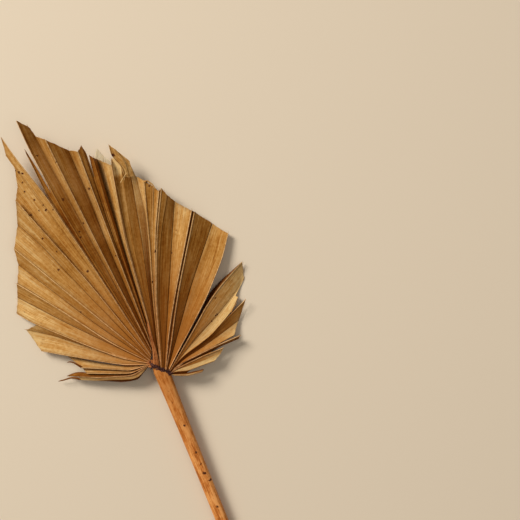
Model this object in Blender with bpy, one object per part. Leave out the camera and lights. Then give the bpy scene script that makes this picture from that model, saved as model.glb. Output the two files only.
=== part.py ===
"""Dried palm spear: one fan palm leaf, dried, trimmed to a spear head and cut with its stalk.

It lies face up on a surface. +Y runs up the stalk to the tip and +Z is up. The origin is the
centre of the floor under its bounding box. Two solids: the pleated blade and its stalk.
"""

import math

import bmesh
import bpy
from mathutils import Vector

MM = 0.001

# The blade as a whole
HUB_RADIUS = 7.0 * MM          # the pleats start on this ring round the stalk's head
HUB_HEIGHT = 11.0 * MM         # of the blade's middle surface at the hub
BLADE_THICK = 1.5 * MM         # straight up, which leaves 0.6 mm or more square to a steep pleat
RINGS = 13                     # steps along each fold
HUB_DEPTH = 0.5 * MM           # half depth of a pleat of level 1 at the hub
DEPTH_PER_REACH = 0.042        # how fast that half depth grows outward
MOST_DEPTH = 6.2 * MM
ROOT_SHIFT = 4.5 * MM          # the right half's folds run to the stalk's right edge
TIP_RISE = 7.0 * MM            # the blade's end stands this much higher than its hub
TIP_REACH = 205.0 * MM
SIDE_DROOP = 9.5 * MM          # the sides bend down by this much
SIDE_REACH = 78.0 * MM

# Each segment between two splits: the share of its folds' length where the split before it
# begins, then its folds from left to right. A fold is the angle of its middle from the stalk's
# line in degrees, the angle of its end, its reach in millimetres, and its level: 1 is a high
# ridge and -1 a deep valley.
SEGMENTS = (
    (0.0, ((-93, -90, 36, -0.3), (-85, -83, 50, 0.6), (-79.5, -78.2, 74, -0.3))),
    (0.4, ((-76.5, -76.6, 75, -0.4), (-73, -73, 66, 0.6), (-69.5, -69.5, 69, -0.3))),
    (0.4, ((-67.5, -68, 66, -0.3), (-64.5, -64.8, 64, 0.6), (-61.8, -61.8, 68, -0.3))),
    (0.4, ((-59.6, -60, 88, 0.1), (-53.6, -53.4, 101, -0.7), (-50.9, -50.3, 104, 0.2))),
    (
        0.6,
        (
            (-48.8, -47.4, 112, 0.3),
            (-42.2, -42.3, 116.4, -0.5),
            (-38.0, -37.9, 120.2, 0.5),
            (-32.4, -32.4, 127.6, -0.5),
            (-28.9, -28.9, 135.9, 0.5),
            (-22.8, -23.1, 146.6, -0.5),
            (-18.8, -19.0, 158.7, 0.5),
            (-17.4, -17.5, 162.0, -0.2),
            (-13.6, -13.6, 178.7, 0.2),
            (-11.5, -12.5, 201.0, 0.6),
        ),
    ),
    (0.72, ((-11.05, -10.3, 180, 0.5), (-10.55, -9.85, 185.5, 0.4))),
    (
        0.72,
        (
            (-10.0, -8.1, 205.7, 0.5),
            (-6.6, -6.6, 198.0, -0.8),
            (-4.5, -4.5, 182.8, 0.5),
            (-1.0, -1.0, 170.4, -0.9),
            (1.6, 1.5, 165.4, 0.6),
            (2.7, 3.0, 163.0, -0.4),
        ),
    ),
    (
        0.9,
        (
            (3.1, 3.5, 161.6, -0.5),
            (4.4, 4.6, 157.6, 0.3),
            (5.2, 5.8, 163.5, -0.7),
            (6.9, 8.6, 149.4, 0.6),
        ),
    ),
    (
        0.93,
        (
            (7.3, 9.1, 163.5, 0.5),
            (11.2, 11.3, 158.0, -0.3),
            (13.4, 13.4, 152.3, 0.3),
            (15.6, 15.4, 137.0, -1.1),
            (17.2, 17.2, 132.0, 0.2),
            (19.8, 21.7, 127.1, 0.6),
            (26.6, 26.6, 120.9, -0.6),
            (33.4, 33.4, 115.7, 0.6),
            (41.5, 41.5, 110.8, -0.6),
            (50.0, 48.8, 107.5, 0.6),
        ),
    ),
    (0.33, ((57.0, 59.8, 97.6, 0.5), (63.5, 65.4, 86.0, -0.6), (72.0, 69.6, 76.0, 0.1))),
    (0.36, ((75.0, 72.7, 80.2, 0.6), (80.5, 80.8, 68.0, -0.6), (86.0, 87.0, 59.0, 0.3))),
    (0.4, ((89.0, 89.4, 62.5, 0.5), (92.0, 92.4, 59.0, -0.5))),
    (0.4, ((96.0, 95.0, 49.0, 0.5), (103.0, 104.0, 40.0, -0.3))),
    (0.4, ((110.0, 110.0, 33.0, 0.4), (117.0, 116.0, 31.0, -0.2))),
)

# The stalk
STALK_LENGTH = 276.0 * MM      # from the hub to the cut end
STALK_SIDES = 16
STALK_FLAT = 2.6               # how square its section is: 2 is an ellipse
END_SLANT = 3.0 * MM           # the cut end leans by this much
PRESSED = 0.35 * MM            # how far its underside is worn flat where it rests

# Stations along the stalk: distance up from the hub, width, thickness and the middle's height,
# in millimetres. The last four are the head inside the blade's ring, with the dark crest on it.
STALK_STATIONS = (
    (-262, 9.0, 7.6, 3.6),
    (-235, 9.1, 7.6, 3.75),
    (-200, 9.0, 7.5, 4.2),
    (-160, 8.9, 7.4, 5.1),
    (-118, 9.0, 7.4, 6.1),
    (-80, 9.3, 7.4, 7.0),
    (-45, 9.9, 7.5, 8.0),
    (-22, 10.5, 7.6, 8.7),
    (-10, 11.2, 7.8, 9.1),
    (-5.0, 11.8, 8.2, 9.6),
    (-2.0, 12.0, 9.2, 10.0),
    (1.0, 11.6, 9.6, 10.1),
    (3.2, 9.6, 8.6, 10.0),
    (4.8, 7.0, 7.6, 10.0),
)
# The rib that runs on from the head over the blade's middle, as distance, width and thickness
COSTA_STATIONS = ((5.6, 5.0, 1.6), (9.0, 4.2, 1.6), (13.0, 3.0, 1.4), (17.0, 1.8, 1.1), (20.0, 0.9, 0.8))
COSTA_LOOSE = 1.8 * MM         # how far its underside lies over the blade's middle surface


def clear_scene():
    for thing in list(bpy.data.objects):
        bpy.data.objects.remove(thing, do_unlink=True)


def smooth(low, high, value):
    share = min(max((value - low) / (high - low), 0.0), 1.0)
    return share * share * (3.0 - 2.0 * share)


def lift(x, y):
    """Height of the blade's middle surface with the pleats pulled flat."""
    rise = TIP_RISE * max(y / TIP_REACH, 0.0) ** 2
    droop = SIDE_DROOP * (x / SIDE_REACH) ** 2
    return HUB_HEIGHT + rise - droop


def fold_point(fold, share):
    """The middle surface on a fold, at a share of its length from the hub ring to its end."""
    middle, end, reach, level = fold
    radius = HUB_RADIUS + (reach * MM - HUB_RADIUS) * share
    angle = math.radians(middle + (end - middle) * share**3)
    shift = ROOT_SHIFT * smooth(18, 50, middle) * (1.0 - smooth(60, 110, middle))
    x = radius * math.sin(angle) + shift * share * (1.0 - share) * 2.0
    y = radius * math.cos(angle)
    depth = min(HUB_DEPTH + DEPTH_PER_REACH * radius, MOST_DEPTH)
    bottom = lift(x, y) + level * depth - BLADE_THICK / 2.0
    return Vector((x, y, max(bottom, 0.0)))


def make_blade():
    """The pleated sheet's underside as a grid of folds and rings, raised into a closed body."""
    bm = bmesh.new()
    columns = []
    opens_at = []
    for start, folds in SEGMENTS:
        for number, fold in enumerate(folds):
            column = [bm.verts.new(fold_point(fold, ring / RINGS)) for ring in range(RINGS + 1)]
            columns.append(column)
            opens_at.append(max(1, round(start * RINGS)) if number == 0 else RINGS)
    for left, right, last in zip(columns, columns[1:], opens_at[1:]):
        for ring in range(last):
            a, b = left[ring], right[ring]
            c, d = right[ring + 1], left[ring + 1]
            bm.faces.new((a, b, c))
            bm.faces.new((a, c, d))
    raised = bmesh.ops.extrude_face_region(bm, geom=bm.faces[:])
    upper = [item for item in raised["geom"] if isinstance(item, bmesh.types.BMVert)]
    bmesh.ops.translate(bm, verts=upper, vec=(0.0, 0.0, BLADE_THICK))
    bmesh.ops.recalc_face_normals(bm, faces=bm.faces[:])
    return finish_mesh("blade", bm)


def section(distance, width, thick, height, slant=0.0):
    """One ring round the stalk, squarer than an ellipse, worn flat where it dips below the floor."""
    ring = []
    for step in range(STALK_SIDES):
        turn = 2.0 * math.pi * step / STALK_SIDES
        across = math.copysign(abs(math.cos(turn)) ** (2.0 / STALK_FLAT), math.cos(turn))
        up = math.copysign(abs(math.sin(turn)) ** (2.0 / STALK_FLAT), math.sin(turn))
        z = height + up * thick / 2.0
        ring.append(Vector((across * width / 2.0, distance + slant * up, max(z, 0.0))))
    return ring


def stalk_rings():
    rings = []
    end = STALK_STATIONS[0]
    rings.append(section(-STALK_LENGTH, end[1] * MM, end[2] * MM, end[3] * MM - PRESSED / 2.0, END_SLANT))
    for distance, width, thick, height in STALK_STATIONS:
        rings.append(section(distance * MM, width * MM, thick * MM, height * MM))
    for distance, width, thick in COSTA_STATIONS:
        under = lift(0.0, distance * MM) + COSTA_LOOSE
        rings.append(section(distance * MM, width * MM, thick * MM, under + thick * MM / 2.0))
    return rings


def make_stalk():
    """Lofted through its stations, with a slanted cut at one end and the costa's point at the other."""
    bm = bmesh.new()
    rings = [[bm.verts.new(point) for point in ring] for ring in stalk_rings()]
    for lower, upper in zip(rings, rings[1:]):
        for side in range(STALK_SIDES):
            after = (side + 1) % STALK_SIDES
            bm.faces.new((lower[side], lower[after], upper[after], upper[side]))
    bm.faces.new(rings[0])
    bm.faces.new(rings[-1])
    bmesh.ops.triangulate(bm, faces=bm.faces[:])
    bmesh.ops.recalc_face_normals(bm, faces=bm.faces[:])
    return finish_mesh("petiole", bm)


def finish_mesh(name, bm):
    mesh = bpy.data.meshes.new(name)
    bmesh.ops.triangulate(bm, faces=[face for face in bm.faces if len(face.verts) > 3])
    bm.to_mesh(mesh)
    bm.free()
    return bpy.data.objects.new(name, mesh)


def finish_material(thing, colour, roughness):
    material = bpy.data.materials.new(thing.name)
    material.use_nodes = True
    shader = material.node_tree.nodes["Principled BSDF"]
    shader.inputs["Base Color"].default_value = (*colour, 1.0)
    shader.inputs["Roughness"].default_value = roughness
    shader.inputs["Metallic"].default_value = 0.0
    thing.data.materials.append(material)


def stand_on_origin(things):
    """Moves the meshes so that the middle of their box, on the floor, is the origin."""
    points = [vertex.co for thing in things for vertex in thing.data.vertices]
    low = [min(point[axis] for point in points) for axis in range(3)]
    high = [max(point[axis] for point in points) for axis in range(3)]
    middle = Vector(((low[0] + high[0]) / 2.0, (low[1] + high[1]) / 2.0, low[2]))
    for thing in things:
        for vertex in thing.data.vertices:
            vertex.co -= middle


clear_scene()
spear = bpy.data.collections.new("dried_palm_spear")
bpy.context.scene.collection.children.link(spear)
blade = make_blade()
stalk = make_stalk()
finish_material(blade, (0.48, 0.29, 0.12), 0.6)
finish_material(stalk, (0.42, 0.19, 0.06), 0.5)
for thing in (blade, stalk):
    spear.objects.link(thing)
stand_on_origin((blade, stalk))
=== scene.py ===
"""Looks of the dried palm spear: a trimmed fan palm leaf lying face up, seen from above."""

import math

import bmesh
import bpy
import numpy as np
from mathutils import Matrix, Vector


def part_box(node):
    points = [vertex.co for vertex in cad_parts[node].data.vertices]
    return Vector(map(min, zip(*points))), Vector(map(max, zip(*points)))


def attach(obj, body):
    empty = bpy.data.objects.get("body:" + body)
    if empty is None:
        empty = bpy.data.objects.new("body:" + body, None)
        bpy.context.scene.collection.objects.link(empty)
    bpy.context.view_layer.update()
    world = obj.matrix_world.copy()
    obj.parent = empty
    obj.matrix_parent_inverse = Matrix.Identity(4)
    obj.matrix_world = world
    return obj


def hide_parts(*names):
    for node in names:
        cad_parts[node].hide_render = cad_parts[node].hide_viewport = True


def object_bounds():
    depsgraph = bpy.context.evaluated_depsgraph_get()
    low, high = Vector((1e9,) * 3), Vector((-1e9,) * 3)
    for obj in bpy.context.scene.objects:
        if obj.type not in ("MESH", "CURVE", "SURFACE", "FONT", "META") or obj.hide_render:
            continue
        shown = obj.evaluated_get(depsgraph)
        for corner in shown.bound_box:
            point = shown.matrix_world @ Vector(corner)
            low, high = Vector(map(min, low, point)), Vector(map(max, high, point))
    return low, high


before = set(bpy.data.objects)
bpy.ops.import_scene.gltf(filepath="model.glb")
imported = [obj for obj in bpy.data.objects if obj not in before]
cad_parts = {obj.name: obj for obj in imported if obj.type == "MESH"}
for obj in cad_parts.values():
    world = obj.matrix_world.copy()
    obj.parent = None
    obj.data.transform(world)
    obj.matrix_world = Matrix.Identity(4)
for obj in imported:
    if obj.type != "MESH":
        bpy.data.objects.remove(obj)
cad_low, cad_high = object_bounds()

# Floor, light and camera
# A pale warm table under the spear, one big soft light from the picture's upper left and a camera
# that looks straight down, turned so that the stalk leans in the picture as it does in the photograph.
MM = 0.001
STALK_BELOW_HUB = 279.0 * MM
HUB_HEIGHT = 11.0 * MM
stalk_low, stalk_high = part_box("petiole")
hub = Vector(((stalk_low.x + stalk_high.x) / 2.0, stalk_low.y + STALK_BELOW_HUB, 0.0))

PICTURE = 520
MM_PER_PIXEL = 0.72 * MM
HUB_PIXEL = (160, 368)
LEAN = math.radians(21.9)
LENS = 85.0
SENSOR = 36.0
FARTHEST = 20.0
right = Vector((math.cos(LEAN), -math.sin(LEAN), 0.0))
upward = Vector((math.sin(LEAN), math.cos(LEAN), 0.0))
aside = (PICTURE / 2 - HUB_PIXEL[0]) * MM_PER_PIXEL
above = (HUB_PIXEL[1] - PICTURE / 2) * MM_PER_PIXEL
camera = bpy.data.objects.new("camera", bpy.data.cameras.new("camera"))
camera.data.lens = LENS
camera.data.sensor_width = SENSOR
camera.data.clip_end = FARTHEST
camera.location = hub + right * aside + upward * above
camera.location.z = HUB_HEIGHT + PICTURE * MM_PER_PIXEL * LENS / SENSOR
camera.rotation_euler = (0.0, 0.0, -LEAN)
into_scene = bpy.context.scene.collection.objects.link
into_scene(camera)
bpy.context.scene.camera = camera

# Each light's direction from the hub, across, up and out of the picture, its distance and size in
# metres, its power in watts and its colour
LIGHTS = {
    "key": ((-0.80, 0.66, 0.78), 2.75, 1.08, 40.3, (1.0, 0.972, 0.935)),
    "fill": ((0.4, -0.2, 1.3), 2.2, 1.6, 3.3, (1.0, 0.96, 0.92)),
}
LIGHT_SPREAD = math.radians(130)
ROOM_COLOUR = (1.0, 0.96, 0.91, 1.0)
ROOM_STRENGTH = 0.25


def soft_light(name, towards, distance, size, watts, colour):
    """A square lamp that looks at the hub."""
    data = bpy.data.lights.new(name, "AREA")
    data.energy = watts
    data.size = size
    data.color = colour
    data.spread = LIGHT_SPREAD
    light = bpy.data.objects.new(name, data)
    place = right * towards[0] + upward * towards[1] + Vector((0.0, 0.0, towards[2]))
    light.location = hub + place.normalized() * distance
    light.rotation_euler = place.to_track_quat("Z", "Y").to_euler()
    into_scene(light)


for light_name, light_facts in LIGHTS.items():
    soft_light(light_name, *light_facts)
world = bpy.data.worlds.new("room")
world.use_nodes = True
room = world.node_tree.nodes["Background"]
room.inputs["Color"].default_value = ROOM_COLOUR
room.inputs["Strength"].default_value = ROOM_STRENGTH
bpy.context.scene.world = world
bpy.context.scene.view_settings.view_transform = "Standard"

FLOOR_SIZE = 14.0
FLOOR_DROP = 0.1 * MM
FLOOR_COLOUR = (0.73, 0.615, 0.465, 1.0)
FLOOR_ROUGHNESS = 0.95
FLOOR_SPECULAR = 0.08
bpy.ops.mesh.primitive_plane_add(size=FLOOR_SIZE, location=(0.0, 0.0, -FLOOR_DROP))
floor = bpy.context.object
floor.name = "floor"
floor_paint = bpy.data.materials.new("floor paint")
floor_paint.use_nodes = True
paint = floor_paint.node_tree.nodes["Principled BSDF"]
paint.inputs["Base Color"].default_value = FLOOR_COLOUR
paint.inputs["Roughness"].default_value = FLOOR_ROUGHNESS
paint.inputs["Specular IOR Level"].default_value = FLOOR_SPECULAR
floor.data.materials.append(floor_paint)

# The blade
# One leaf that grew pleated like a fan, dried and cut to a spear head with scissors. Each fold is a
# thin rib, the panels between them are papery, and splits run in from the cut edge between segments.
RINGS = 76
FAN_SEED = 7
SHEET = 0.42 * MM
SHEET_SHARP = 34
# How far a fold stands above or below the sheet, which grows with the distance from the hub
HUB_DEPTH = 0.9 * MM
DEPTH_PER_REACH = 0.058
MOST_DEPTH = 8.4 * MM
# The sheet rises to its tip and droops to its sides
TIP_RISE = 7.0 * MM
TIP_REACH = 205.0 * MM
SIDE_DROOP = 9.5 * MM
SIDE_REACH = 78.0 * MM
LOWEST = 0.45 * MM
HIGHEST = cad_high.z - 0.75 * MM
# The bead along a fold, its rounded top, the painted shadow line beside its foot, and the most
# that the three may take of the panel. Only a fold that stands clear of its panels has a bead.
RIB_HALF = 0.54 * MM
RIB_HEIGHT = 0.42 * MM
RIB_LEAST = 0.12 * MM
RIB_BY_GAP = 0.3
RIB_TOP = 0.55
LINE_WIDTH = 0.55 * MM
LINE_FROM = 0.12
MOST_SHARES = (0.2, 0.33, 0.43)
BEAD_GAIN = 3.3
BEAD_LOSS = 0.3
# Gaps between folds, from one that counts as shut to one that takes more columns of points
SHUT = 0.05 * MM
NARROW = 1.6 * MM
MIDDLING = 5.0 * MM
# Each column beside a rib, from left to right: its share of the bead's height, and how dark the
# painted shadow line is there
LEFT_COLUMNS = ((1.0, 0.0), (0.8, 0.1), (0.0, 1.0), (0.0, 0.2))
RIGHT_COLUMNS = ((0.0, 0.1), (0.0, 0.5), (0.8, 0.05))
NARROW_LINE = 0.7
FEW_BETWEEN = (0.5,)
MORE_BETWEEN = (0.2, 0.4, 0.6, 0.8)
# Between the ribs a panel is cupped and rippled, each a little otherwise, and its cut end is uneven
PANEL_CUP = 0.05
CUP_EVEN = 0.6
CUP_CHANCE = 0.4
RIPPLE = 0.25 * MM
RIPPLE_WAVES = 9.0
RIPPLE_CHANCE = 5.0
CUT_JITTER = 0.5 * MM
CUT_RANGE = (-1.0, 0.35)
LEAST_JOINED = 2
# The grain's measure along a fold, and its shift from panel to panel
GRAIN_LENGTH = 120.0
GRAIN_GAP = 1.0
GRAIN_SHIFT = 1.7
# A panel takes its tip's tone from this share of the way out, or all at once
TONE_FROM = 0.3
TONE_CURVE = 1.6
SUDDEN = 0.012

# Where the ribs leave the stalk's head, by the angle of their end: across and along, in millimetres
ROOT_ANGLES = (-95, -60, -40, -25, -12, -4, 2, 8, 13, 17, 22, 27, 34, 42, 50, 60, 75, 90, 117)
ROOT_ACROSS = (
    -7.2, -6.8, -5.5, -4.2, -2.6, -0.8, 0.6, 2.2, 1.8, 1.0, 0.6, 2.2, 3.2, 3.8, 4.4, 4.8, 5.2, 5.6, 6.2,
)
ROOT_ALONG = (4.2, 5.4, 6.5, 8, 10.5, 14, 17, 17, 10, 2, -1, -3.2, -3.6, -4.4, -5, -5.4, -6, -6.4, -7.4)


def fold(level, tone, *path, outer=None, tip=None, tip_from=None):
    """A fold of the leaf. Its level runs from -1, a deep valley, to 1, a high ridge, and may change
    towards its outer end. The panel to its right has a tone from -1, brown, to 1, pale, which may
    change too, slowly or at one share of the way out. The tone is partly the leaf's own colour and
    partly painted light and shade: browner where a panel turns from the light or lies deep by the
    hub, paler where it faces the light or light shines through it, and darker than -1 for painted
    shade in the gaps between segments. The path is what it passes: degrees from the stalk's line,
    millimetres from the hub."""
    levels = (level, level if outer is None else outer)
    tones = (tone, tone if tip is None else tip)
    return {"levels": levels, "tones": tones, "tip_from": tip_from, "path": path}


def segment(split_from, *folds):
    """Neighbouring folds, and the distance from the hub at which they split from those before."""
    return split_from, folds


# The segments from the lower left round to the lower right. Their panels' tones hold painted light
# and shade as well as the leaf's own colour
SEGMENTS = (
    segment(
        0,
        fold(-0.6, -1.2, (-96, 17.8), (-92, 24), (-87.8, 30.8)),
        fold(0.1, 0.9, (-92, 17), (-88.5, 24), (-82.4, 33.8), (-79.8, 46), (-76.7, 59)),
        fold(0.55, -1, (-84, 20), (-78.9, 33.3), (-77.1, 45.6), (-74.3, 58.6)),
        fold(
            -0.4, 0.4,
            (-81, 21), (-76.2, 33), (-74.2, 46), (-72.3, 54.2), (-71, 60), (-72.2, 65), (-73.7, 68.6),
        ),
    ),
    segment(
        26,
        fold(0.5, 0.8, (-79, 21), (-75.3, 33), (-72.5, 53.5)),
        fold(-0.5, 0.4, (-74.5, 21), (-70.6, 33), (-69.2, 45), (-68.6, 56.5)),
    ),
    segment(
        24,
        fold(0.5, 0.85, (-73, 22), (-69.8, 32.7), (-68.8, 45.1), (-68.1, 57)),
        fold(-0.5, 0.35, (-66, 22), (-64, 45), (-61.2, 68.6)),
    ),
    segment(
        24,
        fold(0.5, 0.65, (-63.4, 28), (-60.8, 68), (-60.3, 87.5), tip=0.9),
        fold(-0.5, 0.2, (-52.2, 55), (-51.8, 79), (-52.8, 101.8), tip=0.5),
        fold(0.1, 0, (-50.4, 60), (-49.2, 95)),
    ),
    segment(
        34,
        fold(0.36, 0.3, (-54, 26), (-52, 48), (-49, 100), (-47.7, 111.8), tip=0.85),
        fold(-0.34, 0, (-42.8, 79), (-42.3, 116.4), tip=0.15),
        fold(0.36, 0.05, (-41.3, 40), (-38, 83), (-37.9, 120.2), tip=0.6),
        fold(-0.34, -0.05, (-34, 60), (-32.4, 127.6), tip=0.15),
        fold(0.36, 0, (-29, 100), (-28.9, 135.9), tip=0.5),
        fold(-0.34, 0, (-22.7, 90), (-22.3, 124), (-23.1, 146.6), tip=0.4),
        fold(0.48, 0, (-17.7, 84), (-18.4, 128), (-18.7, 158.7)),
    ),
    segment(
        143.6,
        fold(-0.02, -0.1, (-17.6, 84), (-18.5, 128), (-18.75, 143), (-18.95, 159)),
        fold(0, 0, (-15.6, 84), (-16.4, 128), (-16.2, 166), tip=0.1),
        fold(0.1, -0.05, (-13.4, 90), (-14, 177.2), tip=0.1),
        fold(0.16, -0.05, (-13.1, 92), (-13.7, 178), (-13.9, 188.5), tip=0.1),
        fold(0.42, 0, (-11.3, 92), (-11.5, 119), (-11.4, 150), (-12.2, 173), (-12.5, 184), (-12.4, 200.5)),
    ),
    segment(
        154,
        fold(0.2, -1.05, (-11, 92), (-11.2, 146), (-10.9, 156), (-10.15, 170.5), (-9.85, 181)),
        fold(0.1, -0.9, (-10.4, 92), (-10, 146), (-9.85, 153), (-9.5, 169), (-9.7, 184.5)),
    ),
    segment(
        144,
        fold(0.15, -0.42, (-10, 92), (-9.7, 143), (-9.1, 153), (-8.95, 180), (-8, 204.4), outer=0.35),
        fold(-0.6, -0.4, (-6.6, 138), (-6.6, 197)),
        fold(-0.5, -0.05, (-6.3, 138), (-6.35, 189.5)),
        fold(0.4, -0.5, (-4.7, 103), (-4.5, 182.8), tip=-0.35),
        fold(-0.8, -0.15, (-1.4, 100), (-0.8, 131), (-1, 170.4), tip=0.1),
        fold(0.48, -0.8, (1.4, 110), (1.4, 165.6)),
        fold(0.2, -0.8, (2, 110), (2.6, 169)),
        fold(0, -0.6, (2.3, 100), (3.1, 162.5)),
    ),
    segment(
        144,
        fold(0.15, -1, (2.6, 100), (3, 144), (3.65, 161.2)),
        fold(0.2, -0.8, (3.7, 98), (4.4, 158.4)),
        fold(-0.8, 0.15, (4.6, 96), (5, 157.4), tip=0.42),
        fold(0.5, 0, (8.4, 22.5), (6.9, 95.5), (8.1, 126), (8.7, 149.5)),
    ),
    segment(
        148,
        fold(0.4, -0.38, (8.7, 22.5), (7.3, 95), (8.4, 143), (8.9, 154.5), outer=0, tip=1.3, tip_from=0.91),
        fold(0.04, -0.34, (9.8, 95), (10.9, 138), (11.1, 155), outer=0.1, tip=0.5, tip_from=0.92),
        fold(-0.4, 0.1, (13.7, 93), (13.3, 128), (13.1, 143), (13.4, 149.5), tip=0.9),
        fold(
            -1.1, -0.2, (15.2, 50), (16.5, 98), (16.6, 112), (15.6, 124), (14.6, 139.5), outer=-0.45, tip=0.8,
        ),
        fold(0.35, -0.2, (16.6, 50), (17.2, 92), (17.1, 135)),
        fold(0.25, -0.1, (17.6, 50), (18.7, 97), (19.8, 131)),
        fold(0.42, -0.2, (18.4, 49), (19.9, 97), (21.6, 127.1)),
        fold(0.35, -0.3, (19, 49), (20.7, 97), (22.4, 129.5)),
        fold(0.18, -0.7, (20, 49), (22, 97), (24.2, 125), tip=-0.2),
        fold(-0.42, -0.5, (26.6, 120.9), tip=0.35),
        fold(0.38, -1.5, (36.8, 23.9), (34.8, 35.4), (33.5, 58), (33.2, 115.7)),
        fold(0.10, -0.9, (43, 22), (37.2, 36), (34.6, 58), (33.7, 115.5)),
        fold(0.36, -0.9, (45.5, 21.2), (38.4, 36), (35.3, 58), (34.3, 115.4), tip=-0.2),
        fold(-0.4, -0.4, (45.5, 40), (42.4, 62), (41.5, 110.8), tip=0.5),
        fold(
            0.4, -1.2,
            (65.2, 22.3), (61.8, 31), (58.3, 41.5), (55.4, 61), (52.3, 82), (51.7, 90), (48.7, 108.6),
        ),
    ),
    segment(
        22,
        fold(-0.9, -1.6, (67.5, 22.5), (59.4, 43), (56.6, 55), (55.2, 66), (56.8, 77)),
        fold(0.38, 0.1, (70.2, 23), (61.3, 43.5), (58.6, 55), (58.1, 73), (59.6, 96.6), tip=1),
        fold(-0.02, 0.35, (79, 20), (65.2, 60), (62.4, 92), tip=1.1),
        fold(-0.28, 0.9, (82, 18), (73, 32), (69.4, 58), (66.4, 79), (65.2, 88), tip=1.5),
        fold(-0.15, 0.9, (84, 17.4), (76, 38), (71.6, 58), (68.2, 75.2), tip=1.5),
        fold(0.1, -1.5, (86, 16.7), (81.4, 31), (79.6, 44), (76.4, 53), (74, 65), (69.7, 76)),
    ),
    segment(
        33,
        fold(-0.3, -1.3, (90, 18), (80, 42), (77, 52), (74.7, 65), (73.2, 79), outer=0.5, tip=0),
        fold(-0.5, 0.4, (92, 18), (86, 34.6), (82.8, 52), (80.9, 66), tip=1),
        fold(0.3, -1.5, (96, 20), (90.6, 40), (88.4, 58), outer=0.1),
    ),
    segment(
        42,
        fold(0.5, -0.95, (105, 11), (92.4, 32), (90.2, 47), (89.9, 62.5)),
        fold(-0.4, -1.5, (108, 12), (96, 30), (92.4, 46), (91.8, 60)),
    ),
    segment(
        44,
        fold(0.42, 0.3, (120, 10), (97.6, 28), (94.2, 48.4), tip=1),
        fold(0.1, 1.2, (124, 10), (104, 28), (99.5, 44), tip=1.4),
        fold(0.2, -1.5, (128, 10), (117.5, 20.5), (110, 28), (104.8, 39.6)),
    ),
    segment(
        22,
        fold(-0.3, -1.2, (135, 11), (122.5, 20.5), (113.8, 31.6)),
        fold(0.25, 1.4, (138, 11.2), (124.6, 21), (115.6, 31.1)),
        fold(0.2, 0, (141, 11.5), (127, 21.5), (117.3, 30.6)),
    ),
)


def lift(x, y):
    """Height of the blade's middle surface with the pleats pulled flat."""
    rise = TIP_RISE * np.maximum(y / TIP_REACH, 0.0) ** 2
    return HUB_HEIGHT + rise - SIDE_DROOP * (x / SIDE_REACH) ** 2


def off_hub(angle, reach):
    """Across and along from the hub, by degrees from the stalk's line and distance."""
    return reach * math.sin(math.radians(angle)), reach * math.cos(math.radians(angle))


def even_line(knots, count, passes):
    """How far along each point of a path lies, even steps of that measure, and the path's places
    at those steps, smoothed by a number of passes."""
    gone = np.concatenate(([0.0], np.cumsum(np.linalg.norm(np.diff(knots, axis=0), axis=1))))
    steps = np.linspace(0.0, gone[-1], count)
    line = np.stack([np.interp(steps, gone, knots[:, axis]) for axis in (0, 1)], axis=1)
    for _ in range(passes):
        line[1:-1] = 0.25 * line[:-2] + 0.5 * line[1:-1] + 0.25 * line[2:]
    return gone, steps, line


def trace(path, rings, rooted):
    """Points across and along from the hub, at even steps on a smooth line through a fold's points."""
    knots = [off_hub(*place) for place in path]
    if rooted:
        turn = path[-1][0]
        knots.insert(0, (np.interp(turn, ROOT_ANGLES, ROOT_ACROSS), np.interp(turn, ROOT_ANGLES, ROOT_ALONG)))
    return even_line(np.array(knots) * MM, rings + 1, rings // 2)[2]


def fold_line(one, rings, rooted):
    """A fold's points in space, its level and its panel's tone at each."""
    flat = trace(one["path"], rings, rooted)
    far = np.hypot(flat[:, 0], flat[:, 1])
    share = np.linspace(0.0, 1.0, rings + 1)
    level = np.interp(share**2, (0.0, 1.0), one["levels"])
    turning = np.clip((far / far[-1] - TONE_FROM) / (1.0 - TONE_FROM), 0.0, 1.0) ** TONE_CURVE
    if one["tip_from"]:
        turning = np.clip((far / far[-1] - one["tip_from"]) / SUDDEN, 0.0, 1.0)
    tone = np.interp(turning, (0.0, 1.0), one["tones"])
    depth = np.minimum(HUB_DEPTH + DEPTH_PER_REACH * far, MOST_DEPTH)
    height = np.clip(lift(flat[:, 0], flat[:, 1]) + level * depth, LOWEST, HIGHEST)
    return np.column_stack((flat, height)), level, tone


def panel_columns(wide, closing):
    """The columns of points across a panel: the share of the way across, which of its two folds
    each belongs to, how far up that fold's rib it stands, and how dark the painted shadow line
    beside it is."""
    gap = np.maximum(wide, SHUT)
    none = gap * 0.0
    if closing:
        return [(none, 0, 1.0, 0.0)]
    if gap.max() < NARROW:
        return [(none, 0, 1.0, 0.0), (none + 0.5, 0, 0.0, NARROW_LINE)]
    widths = (RIB_HALF * RIB_TOP, RIB_HALF, RIB_HALF + LINE_WIDTH)
    top, foot, line = (np.minimum(width / gap, most) for width, most in zip(widths, MOST_SHARES))
    left = [(step, 0, *facts) for step, facts in zip((none, top, foot, line), LEFT_COLUMNS)]
    right = [(1.0 - step, 1, *facts) for step, facts in zip((line, foot, top), RIGHT_COLUMNS)]
    parts = FEW_BETWEEN if gap.max() < MIDDLING else MORE_BETWEEN
    return left + [(line + (1.0 - 2.0 * line) * part, 0, 0.0, 0.0) for part in parts] + right


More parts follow.
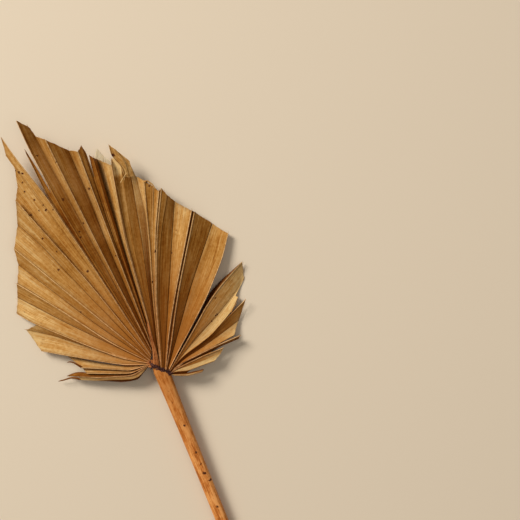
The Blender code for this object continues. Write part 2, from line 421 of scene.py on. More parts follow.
def pleated_sheet(segments, rings, seed, rooted=True):
    """The open sheet: points by column and ring, faces, and what the material reads at each point."""
    draw = np.random.default_rng(seed)
    share = np.linspace(0.0, 1.0, rings + 1)
    lines = [(start, number, one) for start, folds in segments for number, one in enumerate(folds)]
    spaces = [fold_line(one, rings, rooted) for _, _, one in lines]
    columns, grains, looks, lies, links = [], [], [], [], []
    travelled = 0.0
    for number in range(len(lines)):
        here, level, tone = spaces[number]
        last = number + 1 == len(lines)
        after, next_level, _ = spaces[number] if last else spaces[number + 1]
        wide = np.linalg.norm(after - here, axis=1)
        split = not last and lines[number + 1][1] == 0
        wander = draw.uniform(-1.0, 1.0)
        for step, side, rib, shade in panel_columns(wide, last or split):
            point = here * (1.0 - step[:, None]) + after * step[:, None]
            own = level if side == 0 else next_level
            bead = rib * np.sign(own) * np.clip(np.abs(own) * BEAD_GAIN - BEAD_LOSS, 0.0, 1.0)
            middle = 4.0 * step * (1.0 - step)
            waves = share * (RIPPLE_WAVES + RIPPLE_CHANCE * wander) + RIPPLE_CHANCE * wander
            point[:, 2] += np.minimum(RIB_HEIGHT, RIB_BY_GAP * wide + RIB_LEAST) * bead
            point[:, 2] -= PANEL_CUP * middle * wide * (CUP_EVEN + CUP_CHANCE * wander)
            point[:, 2] += RIPPLE * middle * share * np.sin(waves)
            along = point[-1] - point[-2]
            point[-1] += along / np.linalg.norm(along) * draw.uniform(*CUT_RANGE) * CUT_JITTER
            columns.append(point)
            across = travelled + step * wide.max() / MM
            reach = np.hypot(point[:, 0], point[:, 1]) / MM
            grains.append(np.column_stack((across, share * GRAIN_LENGTH, share * 0.0 + number * GRAIN_SHIFT)))
            # The look's third value is the painted shadow line beside a rib that stands up
            looks.append(np.column_stack((tone, bead, shade * (own > LINE_FROM) + share * 0.0)))
            lies.append(np.column_stack((level * (1.0 - step) + next_level * step, reach, share)))
            links.append(rings)
        travelled += wide.max() / MM + GRAIN_GAP
        if split:
            far = np.hypot(here[:, 0], here[:, 1])
            apart = np.searchsorted(far, lines[number + 1][0] * MM)
            links[-1] = int(np.clip(apart, LEAST_JOINED, rings))
    points = np.array(columns) + np.array([hub.x, hub.y, 0.0])
    faces = []
    for column, last_ring in enumerate(links[:-1]):
        for ring in range(last_ring):
            here = column * (rings + 1) + ring
            beside = here + rings + 1
            faces.append((here, beside, beside + 1, here + 1))
    reads = {"grain": np.concatenate(grains), "look": np.concatenate(looks), "lie": np.concatenate(lies)}
    return points.reshape(-1, 3), faces, reads


def finished(name, points, faces, reads, sharp):
    """An object from points and faces, with the values that its material reads at each point."""
    mesh = bpy.data.meshes.new(name)
    mesh.from_pydata(np.asarray(points).tolist(), [], faces)
    for title, values in reads.items():
        layer = mesh.attributes.new(title, "FLOAT_VECTOR", "POINT")
        layer.data.foreach_set("vector", np.asarray(values).astype("f").ravel())
    shape = bmesh.new()
    shape.from_mesh(mesh)
    bmesh.ops.recalc_face_normals(shape, faces=shape.faces[:])
    shape.to_mesh(mesh)
    shape.free()
    mesh.shade_smooth()
    mesh.set_sharp_from_angle(angle=math.radians(sharp))
    piece = bpy.data.objects.new(name, mesh)
    into_scene(piece)
    return piece


def thickened(name, points, faces, reads, thick):
    """Closes an open sheet into a thin solid: a face on either side, and a rim round its edge."""
    open_sheet = bpy.data.meshes.new(name + " open")
    open_sheet.from_pydata(points.tolist(), [], faces)
    normals = np.array([item.vector for item in open_sheet.vertex_normals])
    bpy.data.meshes.remove(open_sheet)
    if normals[:, 2].mean() < 0.0:
        faces = [face[::-1] for face in faces]
        normals = -normals
    count = len(points)
    both = np.concatenate((points + normals * thick / 2.0, points - normals * thick / 2.0))
    both = np.clip(both, np.array(cad_low), np.array(cad_high))
    sides = {(start, end) for face in faces for start, end in zip(face, face[1:] + face[:1])}
    shell = list(faces) + [tuple(corner + count for corner in face[::-1]) for face in faces]
    shell += [(start, start + count, end + count, end) for start, end in sides if (end, start) not in sides]
    reads = {title: np.concatenate((values, values)) for title, values in reads.items()}
    return finished(name, both, shell, reads, SHEET_SHARP)


def put(tree, kind, values=None, **settings):
    """A shader node of a kind, with its settings, and values or links for its inputs."""
    node = tree.nodes.new("ShaderNode" + kind)
    for name, value in settings.items():
        setattr(node, name, value)
    for name, value in (values or {}).items():
        if isinstance(value, bpy.types.NodeSocket):
            tree.links.new(value, node.inputs[name])
        else:
            node.inputs[name].default_value = value
    return node


def ramp(tree, factor, colours):
    """A colour ramp with its colours at even steps."""
    node = put(tree, "ValToRGB", {"Fac": factor})
    while len(node.color_ramp.elements) < len(colours):
        node.color_ramp.elements.new(0.5)
    for number, colour in enumerate(colours):
        node.color_ramp.elements[number].position = number / (len(colours) - 1)
        node.color_ramp.elements[number].color = (*colour, 1.0)
    return node.outputs["Color"]


def span(tree, value, low, high, to_low=0.0, to_high=1.0):
    """A value carried from one range to another and held within it."""
    values = {"Value": value, "From Min": low, "From Max": high, "To Min": to_low, "To Max": to_high}
    return put(tree, "MapRange", values).outputs["Result"]


def blended(tree, share, *pair):
    """Two colours mixed by a share. Each is a colour or a node's output."""
    first, second = (one if isinstance(one, bpy.types.NodeSocket) else (*one, 1.0) for one in pair)
    return put(tree, "Mix", {0: share, 6: first, 7: second}, data_type="RGBA").outputs[2]


def maths(tree, kind, first, *others):
    """A chain of one kind of sum over two or more values."""
    for other in others:
        first = put(tree, "Math", {0: first, 1: other}, operation=kind).outputs[0]
    return first


def held(tree, name):
    """The vector that the mesh holds for the material under a name."""
    return put(tree, "Attribute", attribute_name=name).outputs["Vector"]


def parts_of(tree, name):
    """The three values of such a vector."""
    return put(tree, "SeparateXYZ", {0: held(tree, name)}).outputs


def shader_group(name, takes, gives):
    """A new group that takes vectors and gives values."""
    tree = bpy.data.node_groups.new(name, "ShaderNodeTree")
    for title in takes:
        tree.interface.new_socket(name=title, in_out="INPUT", socket_type="NodeSocketVector")
    for title in gives:
        tree.interface.new_socket(name=title, in_out="OUTPUT", socket_type="NodeSocketFloat")
    return tree, tree.nodes.new("NodeGroupInput").outputs, tree.nodes.new("NodeGroupOutput").inputs


# Marks in the grain for each millimetre across and along it, how far one panel's grain lies from
# the next, and loose marks for each metre
GRAIN_MARKS = {"Threads": (2.7, 0.06), "Lines": (1.0, 0.035), "Streaks": (0.3, 0.022), "Dashes": (1.15, 0.2)}
GRAIN_APART = 3.7
LOOSE_MARKS = {"Blotches": 34.0, "Mottle": 420.0}
DASHES_FROM = (0.665, 0.71)


def fibre_group():
    """Lengthwise fibres of a dried leaf or stalk: fine threads, lines, broad streaks and short dark
    dashes, with blotches and a mottle that don't follow the grain."""
    tree, coming, going = shader_group("dried fibre", ("Grain", "Place"), (*GRAIN_MARKS, *LOOSE_MARKS))
    for name, (across, along) in GRAIN_MARKS.items():
        values = {"Vector": coming["Grain"], "Scale": (across, along, GRAIN_APART)}
        mapped = put(tree, "Mapping", values).outputs["Vector"]
        values = {"Vector": mapped, "Scale": 1.0, "Detail": 2.5, "Roughness": 0.55}
        noise = put(tree, "TexNoise", values).outputs["Fac"]
        if name == "Dashes":
            noise = span(tree, noise, *DASHES_FROM)
        tree.links.new(noise, going[name])
    for name, scale in LOOSE_MARKS.items():
        values = {"Vector": coming["Place"], "Scale": scale, "Detail": 5.0, "Roughness": 0.62}
        tree.links.new(put(tree, "TexNoise", values).outputs["Fac"], going[name])
    return tree


def vector_maths(tree, kind, values):
    """The outputs of one sum over vectors."""
    return put(tree, "VectorMath", values, operation=kind).outputs


# How ragged a speck's edge is, in metres, and where it fades, in shares of its width
RAGGED = 2.6 * MM
RAGGED_PER_METRE = 900.0
SPECK_EDGE = (0.66, 0.36)


def speck_group(spots):
    """Small dark specks at chosen places on the plan, each with a ragged edge."""
    tree, coming, going = shader_group("specks", ("Place",), ("Speck",))
    values = {"Vector": coming["Place"], "Scale": RAGGED_PER_METRE, "Detail": 2.0}
    ragged = put(tree, "TexNoise", values).outputs["Color"]
    shifted = vector_maths(tree, "SUBTRACT", {0: ragged, 1: (0.5, 0.5, 0.5)})[0]
    small = vector_maths(tree, "SCALE", {0: shifted, 3: RAGGED})[0]
    moved = vector_maths(tree, "ADD", {0: coming["Place"], 1: small})[0]
    plan = vector_maths(tree, "MULTIPLY", {0: moved, 1: (1.0, 1.0, 0.0)})[0]
    total = 0.0
    for angle, reach, size in spots:
        across, along = off_hub(angle, reach * MM)
        centre = (hub.x + across, hub.y + along, 0.0)
        away = vector_maths(tree, "DISTANCE", {0: plan, 1: centre})["Value"]
        mark = span(tree, away, *(size * share * MM for share in SPECK_EDGE))
        total = maths(tree, "MAXIMUM", total, mark)
    tree.links.new(total, going["Speck"])
    return tree


# Specks on the blade: angle, distance from the hub and width, in degrees and millimetres
SPECKS = (
    (-14.3, 176, 1.7), (-13.8, 173, 1.9), (-13.3, 171, 1.6), (-14.6, 166, 1.4), (-15.5, 160, 1.3),
    (-14.8, 151, 1.4), (-13.5, 144, 1.4), (-15.6, 143, 1.3), (-13.8, 140, 1.7), (-11.9, 137, 1.2),
    (-7.9, 140, 1.7), (-8.0, 176, 1.4), (-4.6, 165, 1.3), (0.4, 138.5, 1.8), (-6.0, 118, 1.5),
    (-8.6, 114, 1.3), (-9.2, 110, 1.2), (-20.4, 126, 1.5), (-19.6, 112, 1.4), (-24.2, 102, 1.5),
    (-14.8, 87, 1.6), (0.4, 87, 1.2), (19.8, 84, 1.8), (-33.0, 70, 1.2), (27.6, 83, 1.2), (28.4, 100, 1.1),
    (9.6, 156.3, 2.4), (17.9, 134, 1.6), (-18.2, 144, 1.6), (-18.5, 149, 0.9), (18.6, 131, 1.3),
    (68.9, 56, 1.6), (68.9, 54.6, 1.2), (69.8, 50, 1.0), (60.2, 64, 1.2), (16.9, 62, 1.2),
)
STRAW = (
    (0.142, 0.032, 0.0012), (0.258, 0.084, 0.0065), (0.408, 0.178, 0.031),
    (0.565, 0.300, 0.086), (0.765, 0.520, 0.215),
)
DUSTY = (0.350, 0.175, 0.066)
HUB_RED = (0.340, 0.104, 0.0115)
# Dark red for dark panels by the hub, partly painted shade
HUB_DARK_AND_SHADE = (0.125, 0.028, 0.002)
# Near black: the painted shade in the pleats, beside the ribs and in the gaps, and the valleys' staining
STAIN_AND_SHADE = (0.050, 0.011, 0.0010)
RIB_PALE = (0.80, 0.50, 0.220)
RIB_WARM = (0.66, 0.32, 0.125)
SPECK_DARK = (0.080, 0.020, 0.006)
# Where most of a noise's values lie, and how far each kind of mark moves a panel's tone
NOISE = (0.3, 0.7)
TONE_SWINGS = {"Streaks": 0.24, "Lines": 0.28, "Threads": 0.38, "Blotches": 0.34, "Mottle": 0.2}
HELD_TONE = (-1.5, 1.5, -0.8, 1.15)
# Where a colour shows: the range of what drives it, and how strong it is at either end
DUSTY_SHOWS = (1.08, 1.32, 0.0, 0.3)
RED_BY_REACH = (17.0, 96.0, 0.82, 0.0)
RED_BY_TONE = (0.5, 1.3, 1.0, 0.25)
RED_UNEVEN = 0.35
DARK_RED_BY_TONE = (-0.2, -1.0, 0.0, 0.85)
# Painted shade where the sheet lies low in a pleat, broken up by the lines
SHADE_BY_DEPTH = (0.0, -0.9, 0.0, 0.5)
SHADE_UNEVEN = 0.3
# The painted shadow line beside a rib, broken up by the streaks
SHADOW_LINE_BY_STREAKS = (0.35, 0.6, 0.35, 0.9)
# Painted shade in the gaps between segments, where a panel's tone is below -1
SHADE_IN_GAPS = (-1.0, -1.6, 0.0, 0.3)
# Valleys darkened partly by real staining, partly by painted shade
STAIN_AND_SHADE_IN_VALLEYS = (-0.1, -0.9, 0.0, 0.85)
# Pale rib tops, partly the ribs' own colour and partly a painted highlight
RIB_HIGHLIGHT_BY_HEIGHT = (0.3, 0.85)
RIB_HIGHLIGHT_BY_FIBRE = (0.85, 1.15, 0.3, 1.0)
WARM_BY_REACH = (12.0, 80.0, 0.85, 0.0)
CUT_BY_SHARE = (0.975, 0.997)
CUT_PATCHES = (0.45, 0.65, 0.0, 0.5)
LEAF_DASHES = 0.6
GRAIN_RELIEF = 0.3 * MM
LEAF_ROUGHNESS = (0.52, 0.76)
LEAF_BUMP = 0.6
LEAF_SPECULAR = 0.05


def grained(name, fibres, specks):
    """A new material and its shader tree, with its place, fibre masks and speck mask."""
    material = bpy.data.materials.new(name)
    material.use_nodes = True
    tree = material.node_tree
    place = put(tree, "TexCoord").outputs["Object"]
    fibre = put(tree, "Group", {"Grain": held(tree, "grain"), "Place": place}, node_tree=fibres).outputs
    speck = put(tree, "Group", {"Place": place}, node_tree=specks).outputs["Speck"]
    return material, tree, place, fibre, speck


def surfaced(tree, colour, threads, roughness, height, strength, specular):
    """Gives a material its colour, a roughness that follows its threads, and the grain's relief."""
    shader = tree.nodes["Principled BSDF"]
    tree.links.new(colour, shader.inputs["Base Color"])
    tree.links.new(span(tree, threads, *NOISE, *roughness), shader.inputs["Roughness"])
    bump = put(tree, "Bump", {"Height": height, "Strength": strength, "Distance": GRAIN_RELIEF})
    tree.links.new(bump.outputs["Normal"], shader.inputs["Normal"])
    shader.inputs["Specular IOR Level"].default_value = specular


def leaf_material(name, fibres, specks, colours, rib, stain_and_shade_colour):
    """Dry leaf: tone by panel, redder to the hub, pale ribs that are partly a painted highlight,
    painted shade low in the pleats, beside the ribs and in the gaps, valleys darkened by real
    staining and painted shade, threads and specks.
    """
    material, tree, _, fibre, speck = grained(name, fibres, specks)
    own_tone, rib_height, foot = parts_of(tree, "look")
    relief, reach, share = parts_of(tree, "lie")
    swings = {mark: span(tree, fibre[mark], *NOISE, -most, most) for mark, most in TONE_SWINGS.items()}
    tone = maths(tree, "ADD", span(tree, own_tone, *HELD_TONE), *swings.values())
    straw = ramp(tree, span(tree, tone, -1.0, 1.0), colours)
    dusty = maths(tree, "ADD", fibre["Streaks"], fibre["Lines"])
    straw = blended(tree, span(tree, dusty, *DUSTY_SHOWS), straw, DUSTY)
    # Redder to the hub, but not where a panel is pale; where its tone is dark the red darkens, partly
    # as painted shade
    red = blended(tree, span(tree, own_tone, *DARK_RED_BY_TONE), HUB_RED, HUB_DARK_AND_SHADE)
    uneven = maths(tree, "MULTIPLY", swings["Blotches"], RED_UNEVEN)
    inward = span(tree, maths(tree, "ADD", span(tree, reach, *RED_BY_REACH), uneven), 0.0, 1.0)
    inward = maths(tree, "MULTIPLY", inward, span(tree, own_tone, *RED_BY_TONE))
    colour = blended(tree, inward, straw, red)
    # Painted shade where it lies low, a painted shadow line beside the ribs, painted shade in the gaps
    # between segments, and valleys darkened partly by real staining and partly by painted shade
    uneven = maths(tree, "MULTIPLY", swings["Lines"], SHADE_UNEVEN)
    low = span(tree, maths(tree, "ADD", span(tree, relief, *SHADE_BY_DEPTH), uneven), 0.0, 1.0)
    beside = maths(tree, "MULTIPLY", foot, span(tree, fibre["Streaks"], *SHADOW_LINE_BY_STREAKS))
    gap = span(tree, own_tone, *SHADE_IN_GAPS)
    valley = maths(tree, "MAXIMUM", span(tree, rib_height, *STAIN_AND_SHADE_IN_VALLEYS), gap)
    for shaded_share in (low, beside, valley):
        colour = blended(tree, shaded_share, colour, stain_and_shade_colour)
    # Pale on top of the ribs: partly the ribs' own paler colour, partly a painted highlight
    pale_patchiness = span(tree, maths(tree, "ADD", fibre["Lines"], fibre["Mottle"]), *RIB_HIGHLIGHT_BY_FIBRE)
    pale_share = maths(tree, "MULTIPLY", span(tree, rib_height, *RIB_HIGHLIGHT_BY_HEIGHT), pale_patchiness)
    warm_rib = blended(tree, span(tree, reach, *WARM_BY_REACH), rib, RIB_WARM)
    colour = blended(tree, pale_share, colour, warm_rib)
    # Dark in the specks and dashes, and here and there along the cut
    patches = span(tree, fibre["Blotches"], *CUT_PATCHES)
    cut = maths(tree, "MULTIPLY", span(tree, share, *CUT_BY_SHARE), patches)
    dark = maths(tree, "MAXIMUM", speck, maths(tree, "MULTIPLY", fibre["Dashes"], LEAF_DASHES), cut)
    colour = blended(tree, dark, colour, SPECK_DARK)
    height = maths(tree, "ADD", fibre["Threads"], fibre["Lines"], fibre["Streaks"])
    surfaced(tree, colour, fibre["Threads"], LEAF_ROUGHNESS, height, LEAF_BUMP, LEAF_SPECULAR)
    return material


fibres = fibre_group()
specks = speck_group(SPECKS)
leaf = leaf_material("dry leaf", fibres, specks, STRAW, RIB_PALE, STAIN_AND_SHADE)
fan_shape = pleated_sheet(SEGMENTS, RINGS, FAN_SEED)
blade = thickened("fan", *fan_shape, SHEET)
blade.data.materials.append(leaf)
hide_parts("blade")
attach(blade, "root")

# Torn bits of the blade
# Where the scissors slipped, a strip of the tall middle tip curled over its own panel, and a thin
# bleached skin of the leaf was left standing behind the notch beside it.
CURLED_STRIP = (
    segment(
        0,
        fold(
            0.26, -0.1,
            (11.7, 139.5), (11.4, 143), (11.1, 148), (10.3, 151.5), (9.2, 155), (9.1, 164.6), tip=0.5,
        ),
        fold(0.12, 0.6, (12.6, 139), (12.4, 150), (10.4, 160.4), outer=0.25),
        fold(-0.12, 0, (14.1, 139.5), (14, 143), (13.5, 150.8), outer=0),
    ),
)
BLEACHED_SKIN = (
    segment(
        0,
        fold(-1.1, -0.4, (3.6, 147), (4.3, 158), (5.8, 164.6), outer=-0.4),
        fold(-1.2, 0.3, (5.6, 146), (6.9, 158.6), outer=-0.55),
        fold(-1.1, 0.7, (8.2, 142), (8.7, 152), outer=-0.5),
    ),
)
# The skin's colours are paler than its own bleached colour, near white: a painted glow of the light that
# shines through it. Its painted shade is pale too, so it stays light where it lies low.
BLEACHED_AND_GLOWING = (
    (0.78, 0.60, 0.34), (0.86, 0.70, 0.44), (0.92, 0.79, 0.54),
    (0.95, 0.85, 0.63), (0.97, 0.89, 0.72),
)
BLEACHED_RIB = (0.80, 0.66, 0.44)
BLEACHED_STAIN_AND_SHADE = (0.84, 0.70, 0.45)
TORN_RINGS = 24
STRIP_SEED = 21
SKIN_SEED = 22
SKIN_THICKNESS = SHEET * 0.6
strip_shape = pleated_sheet(CURLED_STRIP, TORN_RINGS, STRIP_SEED, rooted=False)
strip = thickened("curled_strip", *strip_shape, SHEET)
strip.data.materials.append(leaf)
skin_shape = pleated_sheet(BLEACHED_SKIN, TORN_RINGS, SKIN_SEED, rooted=False)
skin = thickened("bleached_skin", *skin_shape, SKIN_THICKNESS)
bleached = leaf_material("bleached leaf", fibres, specks, BLEACHED_AND_GLOWING, BLEACHED_RIB, BLEACHED_STAIN_AND_SHADE)
skin.data.materials.append(bleached)


def turns(sides):
    """Angles of the points round a ring."""
    return np.linspace(0.0, 2.0 * math.pi, sides, endpoint=False)


def tube_faces(rings, sides, first=0):
    """Faces round a tube of points, ring after ring, and one over either end."""
    faces = []
    for low in range(first, first + (rings - 1) * sides, sides):
        for side in range(sides):
            after = (side + 1) % sides
            faces.append((low + side, low + after, low + sides + after, low + sides + side))
    faces.append(tuple(range(first, first + sides))[::-1])
    faces.append(tuple(range(first + (rings - 1) * sides, first + rings * sides)))
    return faces


# Fibres on the cut edge: their number, length and half thickness in millimetres, start inside the
# edge, bend to a side and taper
FRAY_COUNT = 70
FRAY_LENGTH = (0.8, 3.4)
FRAY_HALF = (0.10, 0.17)
FRAY_ROOT = 0.6 * MM
FRAY_BEND = 0.35
FRAY_TAPER = 0.85
FRAY_TONE = (0.2, 0.0, 0.0)
FRAY_LIE = (0.0, 150.0, 0.5)
FRAY_RINGS = 6
FRAY_SIDES = 5
FRAY_SHARP = 60
FRAY_SEED = 31


def frayed_ends(points, rings):
    """Thin fibres that stand out of the blade's cut edge: each a fine tapering rod from a point
    just inside the edge, in the run of the leaf's own fibres."""
    draw = np.random.default_rng(FRAY_SEED)
    columns = points.reshape(-1, rings + 1, 3)
    turn = turns(FRAY_SIDES)
    rings_placed, faces = [], []
    for number in range(FRAY_COUNT):
        column = columns[draw.integers(len(columns))]
        ahead = column[-1] - column[-2]
        ahead /= np.linalg.norm(ahead)
        sideways = np.array((-ahead[1], ahead[0], 0.0))
        bend = sideways * draw.uniform(-FRAY_BEND, FRAY_BEND)
        length = draw.uniform(*FRAY_LENGTH) * MM
        thick = draw.uniform(*FRAY_HALF) * MM
        for step in range(FRAY_RINGS):
            share = step / (FRAY_RINGS - 1)
            middle = column[-1] - ahead * FRAY_ROOT + (ahead * share + bend * share**2) * length
            half = thick * (1.0 - FRAY_TAPER * share)
            ring = half * (np.outer(np.cos(turn), sideways) + np.outer(np.sin(turn), (0.0, 0.0, 1.0)))
            rings_placed.append(middle + ring)
        faces += tube_faces(FRAY_RINGS, FRAY_SIDES, number * FRAY_RINGS * FRAY_SIDES)
    placed = np.clip(np.concatenate(rings_placed), np.array(cad_low), np.array(cad_high))
    flat = np.zeros(placed.shape)
    return placed, faces, {"grain": placed / MM, "look": flat + FRAY_TONE, "lie": flat + FRAY_LIE}


# A rod's rings and sides, the passes that smooth its run, the rings that a lump covers, how short
# its round ends are, and the grain round it
ROD_RINGS = 72
ROD_SIDES = 20
ROD_SHARP = 50
ROD_SMOOTHING = 40
LUMP_RINGS = 5
ROD_ENDS = 8.0
FIRST_STEP = 0.3
ROD_GRAIN = 1.6


def rod_shape(path, widths, heights, flat, seed, lumps, tone=0.0, grooves=0.0):
    """A closed rod along points on the plan, with its own width and middle height at each, whose
    skin is lumpy and grooved along its run by the shares given."""
    gone, steps, line = even_line(np.array(path, float) * MM, ROD_RINGS, ROD_SMOOTHING)
    wide = np.interp(steps, gone, np.array(widths) * MM)
    high = np.interp(steps, gone, np.array(heights) * MM)
    draw = np.random.default_rng(seed)
    rough = draw.normal(0.0, 1.0, (ROD_RINGS + LUMP_RINGS - 1, ROD_SIDES))
    rough = sum(rough[shift : shift + ROD_RINGS] for shift in range(LUMP_RINGS)) / LUMP_RINGS
    rough = (rough + np.roll(rough, 1, axis=1)) * lumps + draw.normal(0.0, 1.0, ROD_SIDES) * grooves
    ahead = np.gradient(line, axis=0)
    ahead /= np.linalg.norm(ahead, axis=1, keepdims=True)
    turn = turns(ROD_SIDES)
    points, grain = [], []
    for ring in range(ROD_RINGS):
        from_end = min(ring, ROD_RINGS - 1 - ring) + FIRST_STEP
        end = min(1.0, ROD_ENDS * from_end / ROD_RINGS)
        half = wide[ring] / 2.0 * math.sqrt(end) * (1.0 + rough[ring])
        x = line[ring, 0] + ahead[ring, 1] * np.cos(turn) * half
        y = line[ring, 1] - ahead[ring, 0] * np.cos(turn) * half
        z = high[ring] + np.sin(turn) * half * flat
        points.append(np.column_stack((x + hub.x, y + hub.y, z)))
        grain.append(np.column_stack((turn * ROD_GRAIN, turn * 0.0 + steps[ring] / MM, turn * 0.0 + seed)))
    points, grain = np.concatenate(points), np.concatenate(grain)
    reach = np.hypot(points[:, 0] - hub.x, points[:, 1] - hub.y) / MM
    look = np.zeros(points.shape) + (tone, 0.0, 0.0)
    lie = np.column_stack((reach * 0.0, reach, reach * 0.0))
    return points, tube_faces(ROD_RINGS, ROD_SIDES), {"grain": grain, "look": look, "lie": lie}


# Spurs of rim that peeled off and curled: level, width and tone, then the points passed
# A spur with a tone below -1 takes in some of the painted shade of the gaps between segments
SPURS = (
    (0.50, 1.6, -1.5, ((-68.1, 56.0), (-66.2, 59.5), (-64.8, 62.5), (-64.3, 65.0), (-65.0, 67.7))),
    (0.12, 1.8, -1.5, ((-76.8, 58.0), (-75.3, 61.2), (-74.7, 65.3), (-75.6, 70.5), (-76.0, 75.2))),
    (0.42, 1.5, 0.3, ((16.9, 134.3), (18.3, 134.6), (19.6, 132.2), (20.6, 128.6))),
    (0.30, 0.8, 0.2, ((74.0, 64.5), (72.5, 68.0), (71.4, 72.5))),
    (0.52, 0.6, 1.2, ((10.0, 135.7), (11.3, 139.2), (12.6, 142.3))),
    (0.46, 0.5, 1.2, ((11.2, 137.0), (11.9, 140.5), (12.2, 144.5))),
)
SPUR_END = 0.4
# A spur's flatness, seed and lumps
SPUR_SKIN = (0.5, 3, 0.06)


def spur(name, level, width, tone, path):
    """One curled spur, a tapering rod at the height of the fold that it peeled from."""
    points = [off_hub(*place) for place in path]
    depths = [min(HUB_DEPTH + DEPTH_PER_REACH * reach * MM, MOST_DEPTH) for _, reach in path]
    heights = [(lift(x * MM, y * MM) + level * depth) / MM for (x, y), depth in zip(points, depths)]
    widths = np.linspace(1.0, SPUR_END, len(path)) * width
    return finished(name, *rod_shape(points, widths, heights, *SPUR_SKIN, tone=tone), ROD_SHARP)


spurs = [spur("spur_" + str(number), *one) for number, one in enumerate(SPURS, 1)]
fray = finished("frayed_ends", *frayed_ends(fan_shape[0], RINGS), FRAY_SHARP)
for piece in (fray, *spurs):
    piece.data.materials.append(leaf)
for piece in (strip, skin, fray, *spurs):
    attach(piece, "root")

# The stalk
# A woody stem, flatter on top, with lengthwise grain and worn pale edges. It swells into a head under
# the fan, where the blade grew from it, and ends in a slanted cut.
STALK_RINGS = 190
END_RINGS = (0.03, 0.3, 0.55, 0.78, 0.93)
STALK_SIDES = 40
STALK_FLAT = 2.7
END_SLANT = 3.0 * MM
SLANT_RINGS = 4.0
STALK_SHARP = 40
# Shallow grooves from end to end, and a slow sway of the sides
GROOVE_SEED = 11
GROOVE_DEPTH = 0.10
GROOVE_BLUR = (0.3, 0.4, 0.3)
GROOVE_RUN = 31.0 * MM
GROOVE_WAVE = 0.5
SWAY = 0.25 * MM
SWAY_RUN = 46.0 * MM
SWAY_UP = 0.6
# Past the crest the top drops under the blade
PAST_CREST = 2.2 * MM
UNDER_BLADE = 9.4 * MM
# The grain's measure round and along the stalk, and its place among the other pieces' grain
GIRTH_GRAIN = 28.0
LENGTH_GRAIN = 2.4
STALK_GRAIN = 70.0
# The worn edges lie at this share of the half width
WORN_AT = 0.93
WORN_SPREAD = 0.004
WORN_ABOVE = 0.05
PITH_SHOWS = 1.6
# Distance up from the hub, width, thickness and the middle's height, in millimetres
STALK_STATIONS = (
    (-276, 9.0, 7.6, 3.6), (-235, 9.1, 7.6, 3.75), (-200, 9.0, 7.5, 4.2),
    (-160, 8.9, 7.4, 5.1), (-118, 9.0, 7.4, 6.1), (-80, 9.3, 7.4, 7.0),
    (-45, 9.9, 7.5, 8.0), (-22, 10.5, 7.6, 8.7), (-10, 11.2, 7.8, 9.0),
    (-2, 11.4, 8.0, 9.2), (5, 9.0, 6.6, 9.0), (9, 4.0, 3.6, 8.6),
)
# The crest's line over the head: across and along from the hub, in millimetres
CREST_ACROSS = (-5.6, -4.6, -2.9, -1.2, 0.6, 2.4, 5.2, 7.0)
CREST_ALONG = (6.2, 5.4, 3.0, 0.6, -1.4, -3.4, -6.0, -7.6)


def stalk_mesh():
    """Lofted along its stations, dropping under the blade past the crest."""
    stations = np.array(STALK_STATIONS) * MM
    along = np.linspace(stations[0, 0], stations[-1, 0], STALK_RINGS - len(END_RINGS))
    along = np.concatenate((np.full(len(END_RINGS), along[0]), along))
    inset = np.concatenate((END_RINGS, np.ones(len(along) - len(END_RINGS))))
    wide, thick, high = (np.interp(along, stations[:, 0], stations[:, column]) for column in (1, 2, 3))
    turn = turns(STALK_SIDES)
    across = np.sign(np.cos(turn)) * np.abs(np.cos(turn)) ** (2.0 / STALK_FLAT)
    up = np.sign(np.sin(turn)) * np.abs(np.sin(turn)) ** (2.0 / STALK_FLAT)
    draw = np.random.default_rng(GROOVE_SEED)
    groove = draw.normal(0.0, GROOVE_DEPTH, STALK_SIDES + len(GROOVE_BLUR) - 1)
    groove = np.convolve(groove, GROOVE_BLUR, "valid") * MM
    points, grain, look = [], [], []
    for ring, place in enumerate(along):
        deeper = 1.0 + GROOVE_WAVE * math.sin(place / GROOVE_RUN)
        sway = SWAY * math.sin(place / SWAY_RUN) + groove * deeper
        x = across * (wide[ring] / 2.0 + sway) * inset[ring]
        z = high[ring] + up * (thick[ring] / 2.0 + sway * SWAY_UP) * inset[ring]
        slant = max(0.0, 1.0 - max(0, ring - len(END_RINGS)) / SLANT_RINGS)
        y = place + END_SLANT * up * inset[ring] * slant
        crest = np.interp(x / MM, CREST_ACROSS, CREST_ALONG) * MM
        past = np.clip((y - crest) / PAST_CREST, 0.0, 1.0) * (up > 0.0)
        z = z * (1.0 - past) + np.minimum(z, UNDER_BLADE) * past
        points.append(np.column_stack((x + hub.x, y + hub.y, np.maximum(z, 0.0))))
        girth = turn / (2.0 * math.pi) * GIRTH_GRAIN
        length = place / MM * LENGTH_GRAIN
        grain.append(np.column_stack((girth, girth * 0.0 + length, girth * 0.0 + STALK_GRAIN)))
        edge = np.exp(-((np.abs(across) - WORN_AT) ** 2) / WORN_SPREAD) * (up > WORN_ABOVE)
        if inset[ring] < 1.0:
            edge = edge * 0.0 - min(1.0, PITH_SHOWS - PITH_SHOWS * inset[ring])
        look.append(np.column_stack((edge, up, girth * 0.0 + ring / (STALK_RINGS - 1))))
    reads = {"grain": np.concatenate(grain), "look": np.concatenate(look)}
    return np.concatenate(points), tube_faces(STALK_RINGS, STALK_SIDES), reads


